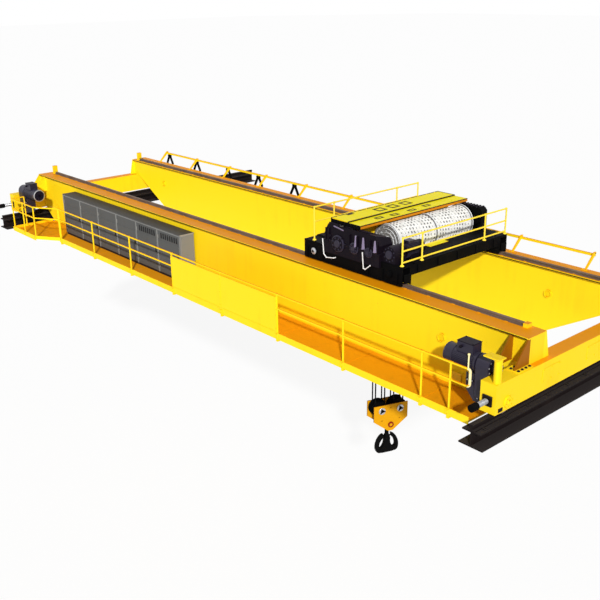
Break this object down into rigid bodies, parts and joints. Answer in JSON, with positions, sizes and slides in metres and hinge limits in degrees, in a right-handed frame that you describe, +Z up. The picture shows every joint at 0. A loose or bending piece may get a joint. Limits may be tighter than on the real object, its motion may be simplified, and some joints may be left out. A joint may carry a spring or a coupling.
{
  "type": "double girder overhead crane",
  "caption": "Double girder overhead travelling crane on runway beams, with walkway, control cabinets, rope hoist trolley and a ramshorn hook block.",
  "frame": {"origin": "underside of the left runway beam, under its rail, midway between the two girders at rest", "axes": "+X along the span to the right runway, +Y along the runways away from the walkway, +Z up"},
  "size_m": [21.67, 11.5, 7.015],
  "materials": {
    "yellow_paint": "satin",
    "black_paint": "satin",
    "rail_steel": "worn",
    "bright_steel": "satin",
    "grey_paint": "satin",
    "drum_grey": "satin",
    "hook_black": "matte",
    "rope": "oiled"
  },
  "bodies": {
    "runway": {"runway_beam_left": "black_paint", "runway_beam_right": "black_paint", "runway_rail_left": "rail_steel", "runway_rail_right": "rail_steel"},
    "bridge": {"front_girder": "yellow_paint", "rear_girder": "yellow_paint", "end_gussets": "yellow_paint", "taper_plates": "yellow_paint", "front_trolley_rail": "rail_steel", "rear_trolley_rail": "rail_steel", "rail_stops": "yellow_paint", "end_carriage_left": "yellow_paint", "end_carriage_right": "yellow_paint", "walkway_deck": "yellow_paint", "walkway_handrail": "yellow_paint", "rail_panel": "yellow_paint", "end_landing": "yellow_paint", "landing_handrail": "yellow_paint", "control_cabinets": "grey_paint", "cabinet_doors": "grey_paint", "travel_gearbox_left": "black_paint", "travel_gearbox_right": "black_paint", "travel_motor_left": "black_paint", "travel_motor_right": "black_paint", "buffers_left": "bright_steel", "buffers_right": "bright_steel", "buffer_heads": "black_paint", "festoon_track": "yellow_paint", "festoon_brackets": "yellow_paint"},
    "bridge_wheels_front": {"bridge_wheels_front": "rail_steel"},
    "bridge_wheels_rear": {"bridge_wheels_rear": "rail_steel"},
    "trolley": {"trolley_side_front": "black_paint", "trolley_side_rear": "black_paint", "trolley_crossbeams": "black_paint", "trolley_deck": "black_paint", "hoist_gearbox": "black_paint", "drum_bearing": "black_paint", "hoist_motor": "black_paint", "hoist_cover": "yellow_paint", "cover_beam": "yellow_paint", "trolley_handrail_left": "yellow_paint", "trolley_handrail_right": "yellow_paint", "upper_sheaves": "hook_black", "sheave_hangers": "black_paint", "hoist_ropes": "rope"},
    "trolley_wheels_left": {"trolley_wheels_left": "rail_steel"},
    "trolley_wheels_right": {"trolley_wheels_right": "rail_steel"},
    "drum": {"hoist_drum": "drum_grey"},
    "hook_block": {"block_plates": "yellow_paint", "block_pins": "bright_steel", "block_sheaves": "hook_black", "block_crosshead": "bright_steel"},
    "hook": {"ramshorn_hook": "hook_black", "hook_latches": "bright_steel"}
  },
  "joints": [
    {"name": "bridge_travel", "type": "slide", "parent": "runway", "child": "bridge", "axis": [0, 1, 0], "range_m": [-0.3, 3]},
    {"name": "trolley_travel", "type": "slide", "parent": "bridge", "child": "trolley", "axis": [1, 0, 0], "range_m": [-13.7, 2.9]},
    {"name": "hoist", "type": "slide", "parent": "trolley", "child": "hook_block", "axis": [0, 0, 1], "range_m": [-4, 3], "deforming": ["hoist_ropes"]},
    {"name": "hook_swivel", "type": "hinge", "parent": "hook_block", "child": "hook", "pos_m": [15.655, -0.2, -2.37], "axis": [0, 0, 1], "continuous": true},
    {"name": "bridge_wheels_front_roll", "type": "hinge", "parent": "bridge", "child": "bridge_wheels_front", "pos_m": [0, -3, 0.7203], "axis": [1, 0, 0], "continuous": true},
    {"name": "bridge_wheels_rear_roll", "type": "hinge", "parent": "bridge", "child": "bridge_wheels_rear", "pos_m": [0, 3, 0.7203], "axis": [1, 0, 0], "continuous": true},
    {"name": "trolley_wheels_left_roll", "type": "hinge", "parent": "trolley", "child": "trolley_wheels_left", "pos_m": [14.705, 0, 2.0053], "axis": [0, 1, 0], "continuous": true},
    {"name": "trolley_wheels_right_roll", "type": "hinge", "parent": "trolley", "child": "trolley_wheels_right", "pos_m": [17.205, 0, 2.0053], "axis": [0, 1, 0], "continuous": true},
    {"name": "drum_turn", "type": "hinge", "parent": "trolley", "child": "drum", "pos_m": [16.355, 0, 2.43], "axis": [0, 1, 0], "continuous": true}
  ],
  "couplings": [
    {"joint": "bridge_wheels_front_roll", "follows": "bridge_travel", "rad_per_m": -4},
    {"joint": "bridge_wheels_rear_roll", "follows": "bridge_travel", "rad_per_m": -4},
    {"joint": "trolley_wheels_left_roll", "follows": "trolley_travel", "rad_per_m": 5.7143},
    {"joint": "trolley_wheels_right_roll", "follows": "trolley_travel", "rad_per_m": 5.7143},
    {"joint": "drum_turn", "follows": "hoist", "rad_per_m": 9.9256}
  ]
}
